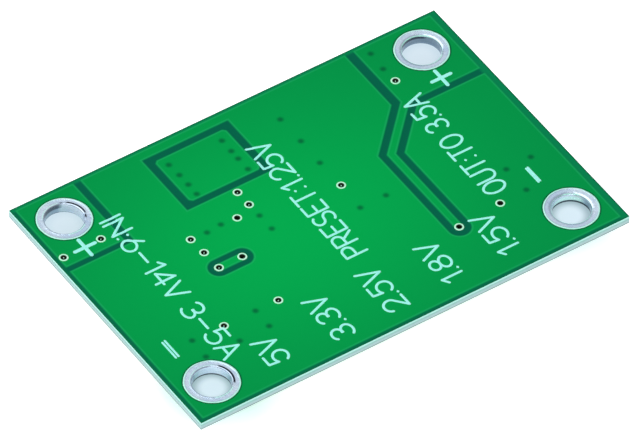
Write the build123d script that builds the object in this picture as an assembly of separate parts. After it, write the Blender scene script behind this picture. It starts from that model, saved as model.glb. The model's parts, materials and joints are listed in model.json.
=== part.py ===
from build123d import *
import os

# board
board_length = 45.0
board_width = 30.0
laminate_thick = 0.8
copper_thick = 0.035
mask_thick = 0.025
tin_thick = 0.03
solder_thick = 0.04
mask_edge = 0.08

# the drilled and etched artwork sits a little toward the input end of the routed outline
artwork_shift = -0.14
end_pullback = 0.52
side_pullback = 0.33

# four plated corner terminals
terminal_inset_x = 3.6
terminal_inset_y = 3.5
terminal_hole_r = 1.75
terminal_wall = 0.05
terminal_ring_r = 2.5

# vias
via_hole_r = 0.22
via_wall = 0.03
via_pad_r = 0.43
via_sides = 10

# solder side copper
input_pour_reach = 3.0
input_pour_drop = 4.94
input_gap_x = 0.70
input_gap_y = 0.55
output_pour_reach = 5.21
output_pour_drop = 4.65
output_gap_x = 0.86
output_gap_y = 0.67
sense_from_coil = 5.82
sense_width = 0.79
sense_bend_drop = 12.57
sense_end_rise = 7.02
sense_gap = 0.69
island_from_chip = 2.99
island_drop = 4.9
island_length = 7.48
island_height = 5.76
island_corner = 0.28
island_gap_x = 0.78
island_gap_y = 0.68
link_drop = 4.1
link_left = 3.05
link_right = 0.62
link_gap = 0.58

# open vias, as steps from what they belong to
input_via_steps = [(-2.6, -3.82), (1.35, -3.72)]
output_via_step = (-4.1, -1.86)
chip_via_steps = [(-3.25, 0.01), (-3.14, -1.91), (1.6, -0.03), (3.34, 2.5), (3.36, 0.74)]
coil_via_step = (0.02, -1.96)
input_ground_via_step = (4.55, 4.89)
middle_ground_via_step = (-0.91, 8.34)
output_ground_via_step = (4.62, 0.38)

# component side copper
lower_gap = 0.3
trace_width = 0.35
pour_lap = 0.7
pour_margin = 0.05
input_pour_split = 0.3
switch_pour_width = 2.1
switch_pour_rise = 2.6
coil_pour_split = 3.0
coil_pour_reach = 6.6
coil_pour_below = 3.4
coil_pour_above = 8.9

# chip
chip_from_middle = 7.8
chip_drop = 11.55
chip_length = 4.9
chip_depth = 3.9
chip_height = 1.45
chip_standoff = 0.1
chip_draft = 0.15
chip_dot_r = 0.3
lead_span = 6.0
lead_pitch = 1.27
lead_width = 0.42
lead_thick = 0.2
lead_foot = 0.6
lead_knee = 0.22
lead_root = 0.3
thermal_pad_length = 3.1
thermal_pad_depth = 2.3

# coil
coil_from_chip = 11.4
coil_drop = 11.3
coil_size = 10.0
coil_height = 4.0
coil_corner = 1.3
coil_wall = 0.8
drum_gap = 0.2
drum_core_r = 1.9
drum_flange = 0.6
drum_recess = 0.1
wire_room = 0.45
tail_size = 0.36
tail_slot = 0.7
coil_base = 0.45
coil_clip_width = 3.4
coil_clip_reach = 1.8
coil_clip_thick = 0.15
coil_clip_rise = 1.3

# ceramic capacitors, power size and small size
power_cap_length = 3.2
power_cap_width = 2.5
power_cap_height = 2.0
power_cap_end = 0.5
input_cap_drop = 7.65
input_cap_steps = (-9.85, -6.5, -3.3)
output_cap_drop = 16.5
output_cap_steps = (9.0, 5.9, 2.8)
small_length = 1.6
small_width = 0.8
small_cap_height = 0.8
small_end = 0.3
end_wall = 0.03
pad_toe = 0.1
power_pad_length = 1.1
power_pad_inset = 0.15
small_pad_length = 0.8
small_pad_step = 0.75
lead_pad_width = 0.57
lead_pad_inset = 0.25
lead_copper_lap = 0.4
coil_pad_margin = 0.25
bypass_step = (-4.3, 1.5)
supply_step = (-1.2, -5.9)

# resistors and the voltage pads beside the long edge
resistor_height = 0.45
choice_from_middle = 12.8
choice_pitch = 6.05
choice_count = 5
choice_resistor_rise = 6.1
choice_pad_rise = 2.9
choice_pad_length = 1.3
choice_pad_width = 0.9
choice_pad_gap = 0.25
feedback_from_via = 1.82
feedback_bus_rise = 7.55
feedback_bus_step = 0.95
supply_step_up = 0.5

# levels, from the coil's outer face up to the solder side
seat_z = coil_height
lower_copper_z = seat_z + solder_thick
laminate_z0 = lower_copper_z + copper_thick
laminate_z1 = laminate_z0 + laminate_thick
upper_copper_z = laminate_z1 + copper_thick

half_l = board_length / 2
half_w = board_width / 2
chip_x = -chip_from_middle
chip_y = half_w - chip_drop
coil_x = chip_x + coil_from_chip
coil_y = half_w - coil_drop
coil_bore_r = coil_size / 2 - coil_wall
island_x = chip_x + island_from_chip
sense_x = coil_x + sense_from_coil
sense_bend_y = half_w - sense_bend_drop
link_y = chip_y - link_drop
link_x0 = chip_x - link_left
link_x1 = chip_x - link_right
input_cap_y = chip_y - input_cap_drop
input_cap_x = [chip_x + step for step in input_cap_steps]
output_cap_y = half_w - output_cap_drop
output_cap_x = [half_l - step for step in output_cap_steps]
choice_x0 = -choice_from_middle
terminal_x = half_l - terminal_inset_x
terminal_y = half_w - terminal_inset_y
art_x0 = -half_l + end_pullback
art_x1 = half_l - end_pullback
art_y0 = -half_w + side_pullback
art_y1 = half_w - side_pullback
island_y = half_w - island_drop

sense_via = (sense_x, -half_w + sense_end_rise)
bypass_at = (chip_x + bypass_step[0], chip_y + bypass_step[1])
supply_at = (chip_x + supply_step[0], chip_y + supply_step[1])
feedback_at = (sense_x - feedback_from_via, sense_via[1])

input_vias = [(-terminal_x + dx, terminal_y + dy) for dx, dy in input_via_steps]
output_via = (terminal_x + output_via_step[0], terminal_y + output_via_step[1])
link_vias = [(link_x0, link_y), (link_x1, link_y)]
ground_vias = [(chip_x + dx, chip_y + dy) for dx, dy in chip_via_steps]
ground_vias += [
    (coil_x + coil_via_step[0], coil_y + coil_via_step[1]),
    (-terminal_x + input_ground_via_step[0], -terminal_y + input_ground_via_step[1]),
    (chip_x + middle_ground_via_step[0], -half_w + middle_ground_via_step[1]),
    (sense_x + output_ground_via_step[0], sense_via[1] + output_ground_via_step[1]),
]
open_vias = input_vias + [output_via, sense_via] + link_vias + ground_vias

terminal_nodes = {
    "input_positive_terminal": (-terminal_x, terminal_y),
    "input_negative_terminal": (-terminal_x, -terminal_y),
    "output_positive_terminal": (terminal_x, terminal_y),
    "output_negative_terminal": (terminal_x, -terminal_y),
}


def art(x, y, z=0.0):
    return Pos(x + artwork_shift, y, z)


def box_face(x0, x1, y0, y1):
    return art((x0 + x1) / 2, (y0 + y1) / 2) * Rectangle(x1 - x0, y1 - y0)


def slab(face, z0, z1):
    return extrude(Pos(0, 0, z0) * face, z1 - z0)


def rod(x, y, r, z0, z1):
    return art(x, y, z0) * Cylinder(r, z1 - z0, align=(Align.CENTER, Align.CENTER, Align.MIN))


def block(x, y, sx, sy, z0, z1):
    return art(x, y, z0) * Box(sx, sy, z1 - z0, align=(Align.CENTER, Align.CENTER, Align.MIN))


def trace_face(points, width):
    face = None
    for a, b in zip(points[:-1], points[1:]):
        leg = box_face(min(a[0], b[0]) - width / 2, max(a[0], b[0]) + width / 2,
                       min(a[1], b[1]) - width / 2, max(a[1], b[1]) + width / 2)
        face = leg if face is None else face + leg
    return face


# solder side copper outlines, above the laminate

def input_pour_face():
    return box_face(art_x0, -terminal_x + input_pour_reach, terminal_y - input_pour_drop, art_y1)


def sense_face():
    half = sense_width / 2
    turn = half * 0.828
    edge = terminal_x - output_pour_reach
    rise = edge - sense_x + half
    low = sense_via[1]
    corner_y = terminal_y - output_pour_drop
    points = [
        (edge, sense_bend_y + turn / 2 + rise),
        (sense_x - half, sense_bend_y + turn / 2),
        (sense_x - half, low),
        (sense_x + half, low),
        (sense_x + half, sense_bend_y - turn / 2),
        (sense_x + half + corner_y - sense_bend_y + turn / 2, corner_y),
        (sense_x + half + corner_y - sense_bend_y + turn / 2, corner_y + sense_width),
        (edge, corner_y + sense_width),
    ]
    shape = Polygon(*[(x + artwork_shift, y) for x, y in points], align=None)
    return shape + art(sense_x, low) * Circle(half)


def output_pour_face():
    pour = box_face(terminal_x - output_pour_reach, art_x1, terminal_y - output_pour_drop, art_y1)
    return pour + sense_face() + art(*sense_via) * Circle(via_pad_r)


def island_face():
    plan = art(island_x, island_y) * Rectangle(island_length, island_height)
    return chamfer(plan.vertices(), island_corner)


def link_face():
    bar = box_face(link_x0, link_x1, link_y - via_pad_r, link_y + via_pad_r)
    return bar + art(link_x0, link_y) * Circle(via_pad_r) + art(link_x1, link_y) * Circle(via_pad_r)


def ground_cuts(grow=0.0):
    return [
        box_face(art_x0 - input_gap_x, -terminal_x + input_pour_reach + input_gap_x + grow,
                 terminal_y - input_pour_drop - input_gap_y - grow, art_y1 + input_gap_x),
        box_face(terminal_x - output_pour_reach - output_gap_x - grow, art_x1 + output_gap_x,
                 terminal_y - output_pour_drop - output_gap_y - grow, art_y1 + output_gap_x),
        art(island_x, island_y) * Rectangle(island_length + 2 * (island_gap_x + grow),
                                            island_height + 2 * (island_gap_y + grow)),
        grown(sense_face(), sense_gap + grow),
        grown(link_face(), link_gap + grow),
    ]


def ground_face():
    return box_face(art_x0, art_x1, art_y0, art_y1) - ground_cuts()


def upper_faces():
    return {
        "upper_input_pour": input_pour_face(),
        "upper_output_pour": output_pour_face(),
        "upper_switch_island": island_face(),
        "upper_link_trace": link_face(),
        "upper_ground_pour": ground_face(),
    }


# component side copper outlines, below the laminate

def lower_input_face():
    low = input_cap_y + pour_lap
    reach = power_cap_width / 2 + pour_margin
    top = box_face(art_x0, chip_x - input_pour_split, lead_row_y(1), art_y1)
    side = box_face(art_x0, input_cap_x[1] + reach, low, lead_row_y(1) + pour_lap)
    lobe = box_face(input_cap_x[1], input_cap_x[2] + reach, low, input_cap_y + power_cap_width)
    feed = trace_face([link_vias[0], (link_x0, input_cap_y + power_cap_width / 2)], trace_width)
    return top + side + lobe + feed


def lower_switch_face():
    left = chip_x + input_pour_split
    return box_face(left, left + switch_pour_width, lead_row_y(1), island_y + switch_pour_rise)


def lower_coil_face():
    return box_face(coil_x - coil_pour_reach, coil_x - coil_pour_split,
                    coil_y - coil_pour_below, coil_y + coil_pour_above)


def lower_output_face():
    return box_face(coil_x + coil_pour_split, art_x1, output_cap_y + pour_lap, art_y1)


def choice_x(k):
    return choice_x0 + choice_pitch * k


def choice_resistor_y():
    return -half_w + choice_resistor_rise


def feedback_face():
    bus_y = -half_w + feedback_bus_rise
    last = choice_x(choice_count - 1)
    pad_y = choice_resistor_y() + small_pad_step
    left = feedback_at[0] - small_pad_step
    pin_x = chip_x + lead_pitch / 2
    far_y = bus_y + feedback_bus_step
    face = trace_face([(choice_x0, bus_y), (left, bus_y)], trace_width)
    face += trace_face([(pin_x, lead_row_y(-1)), (pin_x, bus_y)], trace_width)
    face += trace_face([(left, feedback_at[1]), (left, far_y), (last, far_y), (last, pad_y)], trace_width)
    for k in range(choice_count - 1):
        face += trace_face([(choice_x(k), bus_y), (choice_x(k), pad_y)], trace_width)
    return face


def sense_stub_face():
    start = (feedback_at[0] + small_pad_step, feedback_at[1])
    return trace_face([start, sense_via], trace_width)


def supply_face():
    x = chip_x - 1.5 * lead_pitch
    pad_y = supply_at[1] + small_pad_step
    y = pad_y + supply_step_up
    path = [(x, lead_row_y(-1)), (x, y), (supply_at[0], y), (supply_at[0], pad_y)]
    return trace_face(path, trace_width)


def enable_face():
    pin_x = chip_x - lead_pitch / 2
    return trace_face([(pin_x, lead_row_y(-1)), (pin_x, link_y)], trace_width)


def choice_traces():
    y0 = choice_resistor_y() - small_pad_step
    y1 = -half_w + choice_pad_rise
    return [trace_face([(choice_x(k), y0), (choice_x(k), y1)], small_width) for k in range(choice_count)]


def lower_power_faces():
    return {
        "lower_input_pour": [lower_input_face()],
        "lower_switch_pours": [lower_switch_face(), lower_coil_face()],
        "lower_output_pour": [lower_output_face()],
        "lower_signal_traces": [feedback_face(), sense_stub_face(), supply_face(), enable_face()]
        + choice_traces(),
    }


# pads: centre x, centre y, size x, size y

def power_cap_pads(x, y):
    step = power_cap_length / 2 - power_pad_inset
    return [(x, y + s * step, power_cap_width, power_pad_length) for s in (-1, 1)]


def small_pads(x, y, upright=True):
    step = small_pad_step
    if upright:
        return [(x, y + s * step, small_width, small_pad_length) for s in (-1, 1)]
    return [(x + s * step, y, small_pad_length, small_width) for s in (-1, 1)]


def lead_pads():
    out = []
    for s in (-1, 1):
        for k in range(4):
            y = chip_y + s * (lead_span / 2 - lead_pad_inset)
            out.append((chip_x + (k - 1.5) * lead_pitch, y, lead_pad_width, 2 * lead_foot))
    return out


# where the copper for a row of leads begins

def lead_row_y(side):
    return chip_y + side * (lead_span / 2 - lead_foot - lead_copper_lap)


def coil_pads():
    step = (coil_size - coil_clip_reach) / 2 + coil_pad_margin
    return [(coil_x + s * step, coil_y, coil_clip_reach + 2 * coil_pad_margin,
             coil_clip_width + coil_pad_margin) for s in (-1, 1)]


def choice_pads():
    out = []
    for k in range(choice_count):
        for s in (0, 1):
            y = -half_w + choice_pad_rise - s * (choice_pad_width + choice_pad_gap)
            out.append((choice_x(k), y, choice_pad_length, choice_pad_width))
    return out


# one window in the mask for each row of leads and each pair of selector pads

def lead_windows():
    x, y, sx, sy = lead_pads()[0]
    return [(chip_x, chip_y + s * (chip_y - y), 3 * lead_pitch + sx, sy) for s in (-1, 1)]


def choice_windows():
    step = choice_pad_width + choice_pad_gap
    y = -half_w + choice_pad_rise - step / 2
    return [(choice_x(k), y, choice_pad_length, choice_pad_width + step) for k in range(choice_count)]


def small_part_places():
    caps = [(bypass_at[0], bypass_at[1], True), (supply_at[0], supply_at[1], True)]
    resistors = [(choice_x(k), choice_resistor_y(), True) for k in range(choice_count)]
    resistors.append((feedback_at[0], feedback_at[1], False))
    return caps, resistors


def component_pads():
    pads = coil_pads()
    for x in input_cap_x:
        pads += power_cap_pads(x, input_cap_y)
    for x in output_cap_x:
        pads += power_cap_pads(x, output_cap_y)
    caps, resistors = small_part_places()
    for x, y, upright in caps + resistors:
        pads += small_pads(x, y, upright)
    pads.append((chip_x, chip_y, thermal_pad_length, thermal_pad_depth))
    return pads


def pad_face(pad):
    x, y, sx, sy = pad
    return art(x, y) * Rectangle(sx, sy)


# solids

def via_face(x, y, r):
    return art(x, y) * RegularPolygon(r, via_sides)


def laminate():
    body = slab(Rectangle(board_length, board_width), laminate_z0, laminate_z1)
    body -= [rod(x, y, terminal_hole_r + terminal_wall, laminate_z0, laminate_z1)
             for x, y in terminal_nodes.values()]
    bores = [via_face(x, y, via_hole_r + via_wall) for x, y in open_vias]
    return body - [slab(bore, laminate_z0, laminate_z1) for bore in bores]


# a pour and the barrels plated from it through the board are one deposit of copper
def plated_pour(face, vias):
    rings = [art(x, y) * Circle(terminal_ring_r) for x, y in terminal_nodes.values()]
    bores = [via_face(x, y, via_hole_r) for x, y in vias]
    pour = slab(face - rings - bores, laminate_z1, upper_copper_z)
    for (x, y), bore in zip(vias, bores):
        wall = via_face(x, y, via_hole_r + via_wall) - bore
        pour += slab(wall, laminate_z0, laminate_z1)
    return pour


def grown(face, by):
    return offset(face, by, kind=Kind.INTERSECTION)


def upper_mask():
    floor_z = laminate_z1 + mask_thick
    top_z = upper_copper_z + mask_thick
    faces = upper_faces()
    film = slab(box_face(art_x0, art_x1, art_y0, art_y1) - ground_cuts(-mask_edge), floor_z, top_z)
    for name, face in faces.items():
        if name != "upper_ground_pour":
            film += slab(grown(face, mask_edge), floor_z, top_z)
    film += slab(Rectangle(board_length, board_width), laminate_z1, floor_z)
    film -= [slab(face, laminate_z1, upper_copper_z) for face in faces.values()]
    film -= [rod(x, y, terminal_ring_r, laminate_z1, top_z) for x, y in terminal_nodes.values()]
    return film - [slab(via_face(x, y, via_pad_r), laminate_z1, top_z) for x, y in open_vias]


def lower_ground_face():
    field = box_face(art_x0, art_x1, art_y0, art_y1)
    for faces in lower_power_faces().values():
        field -= [grown(face, lower_gap) for face in faces]
    return field


def lower_faces():
    faces = lower_power_faces()
    faces["lower_ground_pour"] = [lower_ground_face()]
    return faces


def lower_copper(faces):
    bores = [art(x, y) * Circle(terminal_hole_r + terminal_wall) for x, y in terminal_nodes.values()]
    return [slab(face - bores, lower_copper_z, laminate_z0) for face in faces]


def lower_mask():
    low = lower_copper_z - mask_thick
    film = slab(Rectangle(board_length, board_width), low, lower_copper_z)
    film -= [rod(x, y, terminal_ring_r, low, lower_copper_z) for x, y in terminal_nodes.values()]
    openings = lead_windows() + choice_windows() + component_pads()
    return film - [slab(pad_face(pad), low, lower_copper_z) for pad in openings]


def terminal(x, y):
    wall_r = terminal_hole_r + terminal_wall
    top = upper_copper_z + tin_thick
    ring = rod(x, y, wall_r, lower_copper_z, laminate_z1)
    ring += rod(x, y, terminal_ring_r, laminate_z1, top)
    return ring - rod(x, y, terminal_hole_r, lower_copper_z, top)


def choice_blocks():
    return [slab(pad_face(pad), lower_copper_z - tin_thick, lower_copper_z) for pad in choice_pads()]


# chip

def chip_lead(x, side):
    knee_z = seat_z - chip_standoff - (chip_height + lead_thick) / 2
    y_end = lead_span / 2
    y_foot = y_end - lead_foot
    y_knee = y_foot - lead_knee
    y_in = chip_depth / 2 - lead_root
    slant = lead_thick * 0.8
    points = [
        (y_end, seat_z),
        (y_foot, seat_z),
        (y_knee, knee_z + lead_thick),
        (y_in, knee_z + lead_thick),
        (y_in, knee_z),
        (y_knee + slant, knee_z),
        (y_foot + slant, seat_z - lead_thick),
        (y_end, seat_z - lead_thick),
    ]
    start = (x + artwork_shift - side * lead_width / 2, chip_y, 0)
    plane = Plane(origin=start, x_dir=(0, side, 0), z_dir=(side, 0, 0))
    return extrude(plane * Polygon(*points, align=None), lead_width)


def chip_leads():
    return [chip_lead(chip_x + (k - 1.5) * lead_pitch, s) for s in (-1, 1) for k in range(4)]


def chip_body():
    top = seat_z - chip_standoff
    low = top - chip_height
    mid = (top + low) / 2
    wide = art(chip_x, chip_y) * Rectangle(chip_length, chip_depth)
    small = art(chip_x, chip_y) * Rectangle(chip_length - 2 * chip_draft, chip_depth - 2 * chip_draft)
    body = loft([Pos(0, 0, low) * small, Pos(0, 0, mid) * wide])
    body += loft([Pos(0, 0, mid) * wide, Pos(0, 0, top) * small])
    corner = (chip_x - chip_length / 2 + 3 * chip_dot_r, chip_y - chip_depth / 2 + 3 * chip_dot_r)
    body -= rod(*corner, chip_dot_r, low, low + chip_dot_r / 5)
    return body - chip_leads()


def chip_thermal_pad():
    return block(chip_x, chip_y, thermal_pad_length, thermal_pad_depth, seat_z - chip_standoff, seat_z)


# coil: wound drum inside a square shield, on a moulded base with two clips

def coil_base_z():
    return seat_z - coil_clip_thick - coil_base


def coil_plan():
    return chamfer((art(coil_x, coil_y) * Rectangle(coil_size, coil_size)).vertices(), coil_corner)


def tail_z():
    return coil_base_z() - drum_flange - tail_size


def coil_shield():
    top = coil_base_z()
    body = slab(coil_plan(), 0, top) - rod(coil_x, coil_y, coil_bore_r, 0, top)
    return body - block(coil_x, coil_y, coil_size, tail_slot, tail_z(), top)


def coil_drum():
    top = coil_base_z()
    r = coil_bore_r - drum_gap
    drum = rod(coil_x, coil_y, drum_core_r, drum_recess, top)
    drum += rod(coil_x, coil_y, r, drum_recess, drum_recess + drum_flange)
    return drum + rod(coil_x, coil_y, r, top - drum_flange, top)


def coil_winding():
    low = drum_recess + drum_flange
    top = coil_base_z() - drum_flange
    wire = block(coil_x, coil_y, coil_size, tail_size, tail_z(), top)
    wire += rod(coil_x, coil_y, coil_bore_r - wire_room, low, top)
    return wire - rod(coil_x, coil_y, drum_core_r, low, top)


def coil_base_plate():
    return slab(coil_plan(), coil_base_z(), coil_base_z() + coil_base)


def coil_clip(side):
    edge = coil_x + side * coil_size / 2
    sole = block(edge - side * coil_clip_reach / 2, coil_y, coil_clip_reach, coil_clip_width,
                 seat_z - coil_clip_thick, seat_z)
    return sole + block(edge + side * coil_clip_thick / 2, coil_y, coil_clip_thick, coil_clip_width,
                        seat_z - coil_clip_thick - coil_clip_rise, seat_z)


# chips with two ends: modelled along X below z = 0, then set in place

def hung(sx, sy, z0, z1, x=0.0):
    return Pos(x, 0, z0) * Box(sx, sy, z1 - z0, align=(Align.CENTER, Align.CENTER, Align.MIN))


def ceramic(length, width, height):
    return hung(length - 2 * end_wall, width - 2 * end_wall, end_wall - height, -end_wall)


def end_caps(length, width, height, reach):
    core = ceramic(length, width, height)
    return [hung(reach, width, -height, 0, s * (length - reach) / 2) - core for s in (-1, 1)]


def resistor_plate():
    return hung(small_length - 2 * small_end, small_width, end_wall - resistor_height, -end_wall)


def resistor_ends():
    step = (small_length - small_end) / 2
    return [hung(small_end, small_width, -resistor_height, 0, s * step) for s in (-1, 1)]


def resistor_film_strip():
    reach = small_length - 2 * small_end
    return hung(reach, small_width - 4 * end_wall, -resistor_height, end_wall - resistor_height)


def set_down(solids, places):
    out = []
    for x, y, upright in places:
        spot = art(x, y, seat_z) * Rot(0, 0, 90 if upright else 0)
        out += [spot * solid for solid in solids]
    return out


# solder: a thin bed on the pad and a wedge up the end of the part

def solder_joint(pad, heading, reach, rise):
    x, y, sx, sy = pad
    turned = heading % 180 == 90
    half = (sy if turned else sx) / 2
    width = (sx if turned else sy) - pad_toe
    points = [
        (-half, 0),
        (half, 0),
        (reach, -solder_thick - rise),
        (reach, -solder_thick),
        (-half, -solder_thick),
    ]
    bead = extrude(Plane.XZ * Polygon(*points, align=None), width / 2, both=True)
    return art(x, y, lower_copper_z) * Rot(0, 0, heading) * bead


def solder_joints():
    out = [block(chip_x, chip_y, thermal_pad_length, thermal_pad_depth, seat_z, lower_copper_z)]
    for pad in lead_pads():
        side = 1 if pad[1] > chip_y else -1
        reach = lead_span / 2 - abs(pad[1] - chip_y)
        out.append(solder_joint(pad, 90 * side, reach, lead_thick * 0.8))
    for pad in coil_pads():
        side = 1 if pad[0] > coil_x else -1
        reach = coil_size / 2 + coil_clip_thick - abs(pad[0] - coil_x)
        out.append(solder_joint(pad, 90 - 90 * side, reach, coil_clip_rise * 0.7))
    for x, y in power_places():
        for pad, side in zip(power_cap_pads(x, y), (-1, 1)):
            reach = power_cap_length / 2 - abs(pad[1] - y)
            out.append(solder_joint(pad, 90 * side, reach, power_cap_height * 0.5))
    caps, resistors = small_part_places()
    for places, height in ((caps, small_cap_height), (resistors, resistor_height)):
        for x, y, upright in places:
            for pad, side in zip(small_pads(x, y, upright), (-1, 1)):
                heading = 90 * side if upright else 90 - 90 * side
                reach = small_length / 2 - abs(pad[1] - y if upright else pad[0] - x)
                out.append(solder_joint(pad, heading, reach, height * 0.5))
    return out


def power_places():
    return [(x, input_cap_y) for x in input_cap_x] + [(x, output_cap_y) for x in output_cap_x]


def board_nodes():
    vias = {
        "upper_ground_pour": ground_vias,
        "upper_input_pour": input_vias,
        "upper_output_pour": [output_via, sense_via],
        "upper_switch_island": [],
        "upper_link_trace": link_vias,
    }
    nodes = {"laminate": [laminate()]}
    for name, face in upper_faces().items():
        nodes[name] = [plated_pour(face, vias[name])]
    nodes["upper_solder_mask"] = [upper_mask()]
    for name, faces in lower_faces().items():
        nodes[name] = lower_copper(faces)
    nodes["lower_solder_mask"] = [lower_mask()]
    for name, (x, y) in terminal_nodes.items():
        nodes[name] = [terminal(x, y)]
    nodes["selector_pads"] = choice_blocks()
    return nodes


def coil_nodes():
    return {
        "coil_shield": [coil_shield()],
        "coil_drum": [coil_drum()],
        "coil_winding": [coil_winding()],
        "coil_base": [coil_base_plate()],
        "coil_clips": [coil_clip(-1), coil_clip(1)],
    }


def chip_nodes():
    return {
        "chip_body": [chip_body()],
        "chip_leads": chip_leads(),
        "chip_thermal_pad": [chip_thermal_pad()],
    }


def small_nodes():
    power = (power_cap_length, power_cap_width, power_cap_height)
    small = (small_length, small_width, small_cap_height)
    inputs = [(x, input_cap_y, True) for x in input_cap_x]
    outputs = [(x, output_cap_y, True) for x in output_cap_x]
    caps, resistors = small_part_places()
    return {
        "input_capacitors": set_down([ceramic(*power)], inputs),
        "input_capacitor_ends": set_down(end_caps(*power, power_cap_end), inputs),
        "output_capacitors": set_down([ceramic(*power)], outputs),
        "output_capacitor_ends": set_down(end_caps(*power, power_cap_end), outputs),
        "small_capacitors": set_down([ceramic(*small)], caps),
        "small_capacitor_ends": set_down(end_caps(*small, small_end), caps),
        "resistors": set_down([resistor_plate()], resistors),
        "resistor_films": set_down([resistor_film_strip()], resistors),
        "resistor_ends": set_down(resistor_ends(), resistors),
    }


def export(nodes):
    os.makedirs("parts", exist_ok=True)
    for name, pieces in nodes.items():
        solids = [solid for piece in pieces for solid in piece.solids()]
        export_step(Compound(children=solids), "parts/" + name + ".step")


if __name__ == "__main__":
    nodes = board_nodes() | chip_nodes() | coil_nodes() | small_nodes()
    nodes["solder_joints"] = solder_joints()
    export(nodes)
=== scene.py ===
import bmesh
import bpy
import json
import math
import numpy as np
from mathutils import Matrix


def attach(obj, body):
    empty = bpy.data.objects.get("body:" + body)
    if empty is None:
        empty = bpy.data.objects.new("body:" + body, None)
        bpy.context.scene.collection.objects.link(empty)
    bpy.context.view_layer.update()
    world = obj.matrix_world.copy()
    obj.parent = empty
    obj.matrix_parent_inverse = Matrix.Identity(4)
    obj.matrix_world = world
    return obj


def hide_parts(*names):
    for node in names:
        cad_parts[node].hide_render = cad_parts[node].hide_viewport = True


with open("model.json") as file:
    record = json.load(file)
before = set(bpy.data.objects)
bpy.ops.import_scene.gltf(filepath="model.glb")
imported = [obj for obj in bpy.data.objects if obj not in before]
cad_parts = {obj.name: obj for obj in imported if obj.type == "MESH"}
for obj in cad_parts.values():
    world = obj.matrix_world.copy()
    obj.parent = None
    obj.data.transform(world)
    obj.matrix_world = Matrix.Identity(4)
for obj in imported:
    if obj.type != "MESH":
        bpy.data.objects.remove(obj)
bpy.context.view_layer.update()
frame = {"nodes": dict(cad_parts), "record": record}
mm = 0.001
print("stage: frame loaded")


# lengths in millimetres as the metres that shaders count in
def metres(values):
    return tuple(value * mm for value in values)


# the board: half sides, the artwork's shift along x, heights above the table, the terminals' radius
board = {
    "halfLength": 22.5,
    "halfWidth": 15,
    "artShift": -0.14,
    "laminateTop": 4.875,
    "filmFloor": 4.9,
    "copperRise": 0.035,
    "ring": 2.5,
}
terminals = {
    "input_positive_terminal": (-18.9, 11.5),
    "input_negative_terminal": (-18.9, -11.5),
    "output_positive_terminal": (18.9, 11.5),
    "output_negative_terminal": (18.9, -11.5),
}
openVias = [
    (-21.5, 7.68), (-17.55, 7.78), (14.8, 9.64), (9.42, -7.98), (-10.85, -0.65), (-8.42, -0.65),
    (-11.05, 3.46), (-10.94, 1.54), (-6.2, 3.42), (-4.46, 5.95), (-4.44, 4.19),
    (3.62, 1.74), (-14.35, -6.61), (-8.71, -6.66), (14.04, -7.6),
]
tentedVias = [
    (-7.65, 11.96), (-7.56, 10.44), (-7.54, 9.06), (-7.56, 7.72), (-2.11, 11.87), (-2.13, 10.38),
    (-2.13, 9.29), (-2.12, 7.78), (-9.39, 3.39), (-7.84, 3.53), (-4.42, 2.59), (-4.4, 0.71),
    (3.64, 11.23), (3.67, 8.07), (3.58, 4.99), (3.49, -1.4), (6.22, -1.39), (14.85, 13.56),
    (14.71, 11.42), (16.83, -4.53), (19.49, -4.47), (16.89, -7.52), (-17.63, -6.57), (-17.69, -8.8),
    (-14.2, -8.83), (-11.07, -6.63), (-11.09, -8.76),
]


# an object of its own for a mesh, a lamp or the camera
def addObject(name, data):
    piece = bpy.data.objects.new(name, data)
    bpy.context.scene.collection.objects.link(piece)
    return piece


# a mesh from points in millimetres, put into metres, and faces that all have the same number of corners
def addMesh(name, points, quads, smooth=True):
    mesh = bpy.data.meshes.new(name)
    points = np.asarray(points, float).reshape(-1, 3) * mm
    quads = np.asarray(quads, np.int32)
    sides = quads.shape[1]
    mesh.vertices.add(len(points))
    mesh.vertices.foreach_set("co", points.astype(np.float32).ravel())
    mesh.loops.add(quads.size)
    mesh.loops.foreach_set("vertex_index", quads.ravel())
    mesh.polygons.add(len(quads))
    mesh.polygons.foreach_set("loop_start", np.arange(0, quads.size, sides, dtype=np.int32))
    mesh.polygons.foreach_set("loop_total", np.full(len(quads), sides, np.int32))
    mesh.polygons.foreach_set("use_smooth", np.full(len(quads), smooth))
    mesh.update(calc_edges=True)
    mesh.validate()
    return addObject(name, mesh)


# quads of a grid of rows by columns, either direction may close on itself
def gridQuads(rows, columns, closeRows=False, closeColumns=False):
    r = np.arange(rows if closeRows else rows - 1)
    c = np.arange(columns if closeColumns else columns - 1)
    r, c = np.meshgrid(r, c, indexing="ij")
    r1 = (r + 1) % rows
    c1 = (c + 1) % columns
    quads = np.stack([r * columns + c, r * columns + c1, r1 * columns + c1, r1 * columns + c], -1)
    return quads.reshape(-1, 4)


# many shells, each points and quads, as one mesh
def joinMesh(name, shells):
    starts = np.cumsum([0] + [len(points) for points, quads in shells])
    quads = [quads + start for (points, quads), start in zip(shells, starts)]
    return addMesh(name, np.concatenate([points for points, quads in shells]), np.concatenate(quads))


# corners that fall on one another become one, so rows drawn in to a point leave no empty faces
def weld(piece):
    shell = bmesh.new()
    shell.from_mesh(piece.data)
    bmesh.ops.remove_doubles(shell, verts=shell.verts, dist=0.0001 * mm)
    shell.to_mesh(piece.data)
    shell.free()
    return piece


# one value for each point, which the materials read by its name
def addAttribute(piece, name, values):
    attribute = piece.data.attributes.new(name, "FLOAT", "POINT")
    attribute.data.foreach_set("value", np.asarray(values, np.float32).ravel())


# a finished piece: its material, then how the part carries it and what it stands for
def place(piece, material, slot, *nodes):
    piece.data.materials.append(material)
    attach(piece, "root")
    if nodes:
        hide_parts(*nodes)
    return piece


# 0 below the low value and 1 above the high one, with the cubic 3 t t - 2 t t t between
def smoothStep(value, low, high):
    t = np.clip((value - low) / (high - low), 0, 1)
    return t * t * (3 - 2 * t)


# a depth that holds at the near distance and is gone at the far one
def dip(distance, depth, near, far):
    return depth * (1 - smoothStep(distance, near, far))


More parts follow.
